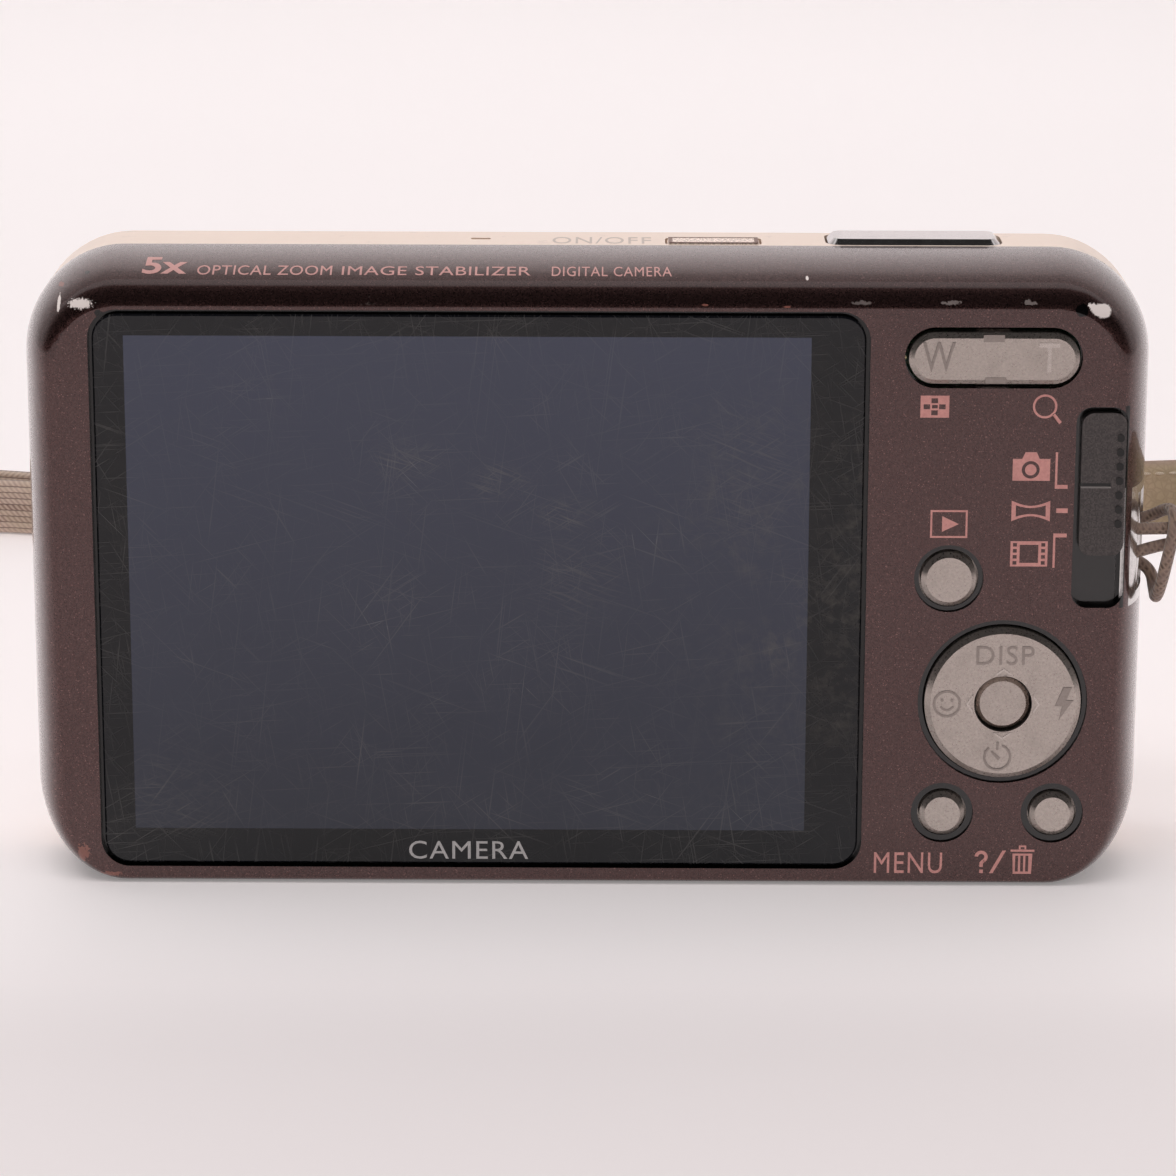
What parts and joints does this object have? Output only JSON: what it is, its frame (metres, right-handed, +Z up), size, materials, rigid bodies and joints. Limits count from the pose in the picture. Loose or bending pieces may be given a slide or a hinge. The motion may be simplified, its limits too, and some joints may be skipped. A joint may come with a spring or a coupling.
{
  "type": "compact digital camera",
  "caption": "Slim pocket digital camera with a rear screen, zoom rocker, control pad, mode slider, telescoping lens, base battery door and a wrist strap.",
  "frame": {"origin": "middle of the base, under the centre of the body", "axes": "+X to the right seen from the screen side, +Y from the screen towards the lens, +Z up"},
  "size_m": [0.1586, 0.1272, 0.0519],
  "materials": {
    "lamp_lens": "clear red",
    "battery_case": "matte",
    "black_matte": "matte",
    "contact_gold": "plated",
    "door_shell": "satin metallic brown",
    "lever_orange": "matte",
    "black_gloss": "gloss",
    "circuit_board": "solder mask",
    "pressed_steel": "brushed",
    "screw_steel": "black zinc",
    "button_metal": "satin metallised",
    "chassis_steel": "pressed",
    "blade_steel": "satin black",
    "pin_steel": "ground",
    "capacitor_sleeve": "sleeve",
    "reflector_mirror": "mirror",
    "lens_glass": "coated",
    "flash_lens": "clear ribbed",
    "front_shell": "satin champagne",
    "sensor_silicon": "gloss",
    "dome_steel": "bright",
    "backlight_film": "matte",
    "lcd_cell": "smooth",
    "window_panel": "scratched gloss",
    "barrel_metal": "satin",
    "ring_metal": "polished",
    "slider_brown": "satin",
    "power_metal": "satin",
    "rear_shell": "satin metallic brown",
    "shutter_chrome": "satin chrome",
    "band_weave": "ribbed weave",
    "cord_braid": "braided",
    "lug_chrome": "polished",
    "tab_leather": "soft grain",
    "nut_brass": "machined",
    "gear_plastic": "natural",
    "motor_can": "plated"
  },
  "bodies": {
    "camera_body": {"af_lamp_window": "lamp_lens", "battery": "battery_case", "battery_box": "black_matte", "battery_contacts": "contact_gold", "button_bezel": "black_gloss", "button_board": "circuit_board", "card_slot": "pressed_steel", "case_screws": "screw_steel", "chassis_plate": "chassis_steel", "door_pin": "pin_steel", "flash_capacitor": "capacitor_sleeve", "flash_reflector": "reflector_mirror", "flash_tube": "lens_glass", "flash_window": "flash_lens", "front_cover": "front_shell", "image_sensor": "sensor_silicon", "key_domes": "dome_steel", "lcd_backlight": "backlight_film", "lcd_frame": "pressed_steel", "lcd_panel": "lcd_cell", "lcd_window": "window_panel", "lens_bezel": "ring_metal", "lens_housing": "black_matte", "main_board": "circuit_board", "microphone": "pressed_steel", "multi_connector": "pressed_steel", "rear_cover": "rear_shell", "sensor_plate": "chassis_steel", "speaker": "black_matte", "strap_band": "band_weave", "strap_cord": "cord_braid", "strap_lug": "lug_chrome", "strap_tab": "tab_leather", "switch_board": "circuit_board", "tripod_nut": "nut_brass", "zoom_motor": "motor_can"},
    "shutter": {"shutter_button": "shutter_chrome"},
    "power": {"power_button": "power_metal"},
    "playback": {"playback_button": "button_metal"},
    "menu": {"menu_button": "button_metal"},
    "delete": {"delete_button": "button_metal"},
    "centre": {"centre_button": "button_metal"},
    "pad_base": {"control_pad_base": "black_matte"},
    "pad_ring": {"control_pad_ring": "button_metal"},
    "zoom": {"zoom_rocker": "button_metal"},
    "mode": {"mode_slider": "slider_brown"},
    "lens_outer": {"lens_barrel_outer": "barrel_metal"},
    "lens_inner": {"lens_barrel_inner": "barrel_metal", "front_lens_cell": "black_matte", "front_lens": "lens_glass"},
    "rear_group": {"rear_lens_carrier": "black_matte", "rear_lens": "lens_glass", "shutter_unit": "black_matte"},
    "cam": {"cam_ring": "black_matte"},
    "gear": {"zoom_gear": "gear_plastic"},
    "blade_upper": {"cover_blade_upper": "blade_steel"},
    "blade_lower": {"cover_blade_lower": "blade_steel"},
    "door": {"battery_door": "door_shell"},
    "latch": {"door_latch": "black_matte"},
    "lever": {"battery_lever": "lever_orange"}
  },
  "joints": [
    {"name": "shutter_press", "type": "slide", "parent": "camera_body", "child": "shutter", "axis": [0, 0, -1], "range_m": [0, 0.0008], "stiffness_N_per_m": 300},
    {"name": "power_press", "type": "slide", "parent": "camera_body", "child": "power", "axis": [0, 0, -1], "range_m": [0, 0.0004], "stiffness_N_per_m": 300},
    {"name": "playback_press", "type": "slide", "parent": "camera_body", "child": "playback", "axis": [0, 1, 0], "range_m": [0, 0.00035], "stiffness_N_per_m": 300},
    {"name": "menu_press", "type": "slide", "parent": "camera_body", "child": "menu", "axis": [0, 1, 0], "range_m": [0, 0.00035], "stiffness_N_per_m": 300},
    {"name": "delete_press", "type": "slide", "parent": "camera_body", "child": "delete", "axis": [0, 1, 0], "range_m": [0, 0.00035], "stiffness_N_per_m": 300},
    {"name": "centre_press", "type": "slide", "parent": "camera_body", "child": "centre", "axis": [0, 1, 0], "range_m": [0, 0.00025], "stiffness_N_per_m": 300},
    {"name": "pad_tilt_updown", "type": "hinge", "parent": "camera_body", "child": "pad_base", "pos_m": [0.0339, -0.008, 0.0158], "axis": [1, 0, 0], "range_deg": [-2, 2], "stiffness_Nm_per_rad": 0.03},
    {"name": "pad_tilt_sideways", "type": "hinge", "parent": "pad_base", "child": "pad_ring", "pos_m": [0.0339, -0.008, 0.0158], "axis": [0, 0, 1], "range_deg": [-2, 2], "stiffness_Nm_per_rad": 0.03},
    {"name": "zoom_rock", "type": "hinge", "parent": "camera_body", "child": "zoom", "pos_m": [0.0325, -0.0077, 0.04435], "axis": [0, 0, 1], "range_deg": [-3.5, 3.5], "stiffness_Nm_per_rad": 0.03},
    {"name": "mode_slide", "type": "slide", "parent": "camera_body", "child": "mode", "axis": [0, 0, -1], "range_m": [0, 0.004]},
    {"name": "lens_extend", "type": "slide", "parent": "camera_body", "child": "lens_outer", "axis": [0, 1, 0], "range_m": [0, 0.0085]},
    {"name": "lens_stage_two", "type": "slide", "parent": "lens_outer", "child": "lens_inner", "axis": [0, 1, 0], "range_m": [0, 0.007]},
    {"name": "rear_group_slide", "type": "slide", "parent": "camera_body", "child": "rear_group", "axis": [0, 1, 0], "range_m": [0, 0.006]},
    {"name": "cam_turn", "type": "hinge", "parent": "camera_body", "child": "cam", "pos_m": [-0.0162, 0, 0.0255], "axis": [0, 1, 0], "range_deg": [0, 75]},
    {"name": "gear_turn", "type": "hinge", "parent": "camera_body", "child": "gear", "pos_m": [-0.03176, 0, 0.00994], "axis": [0, 1, 0], "range_deg": [-337.5, 0]},
    {"name": "blade_upper_swing", "type": "hinge", "parent": "lens_inner", "child": "blade_upper", "pos_m": [-0.005, 0.0077, 0.0268], "axis": [0, 1, 0], "range_deg": [0, 32]},
    {"name": "blade_lower_swing", "type": "hinge", "parent": "lens_inner", "child": "blade_lower", "pos_m": [-0.005, 0.0077, 0.0242], "axis": [0, -1, 0], "range_deg": [0, 32]},
    {"name": "door_hinge", "type": "hinge", "parent": "camera_body", "child": "door", "pos_m": [0.02145, 0.0073, 0.0011], "axis": [1, 0, 0], "range_deg": [0, 95]},
    {"name": "latch_slide", "type": "slide", "parent": "door", "child": "latch", "axis": [0, 1, 0], "range_m": [0, 0.001]},
    {"name": "battery_lever_slide", "type": "slide", "parent": "camera_body", "child": "lever", "axis": [0, -1, 0], "range_m": [0, 0.0012], "stiffness_N_per_m": 100}
  ],
  "couplings": [
    {"joint": "lens_stage_two", "follows": "lens_extend", "ratio": 0.8235},
    {"joint": "rear_group_slide", "follows": "lens_extend", "ratio": 0.7058},
    {"joint": "cam_turn", "follows": "lens_extend", "rad_per_m": 153.99},
    {"joint": "gear_turn", "follows": "lens_extend", "rad_per_m": -692.96},
    {"joint": "blade_upper_swing", "follows": "lens_extend", "rad_per_m": 65.7},
    {"joint": "blade_lower_swing", "follows": "lens_extend", "rad_per_m": 65.7}
  ]
}
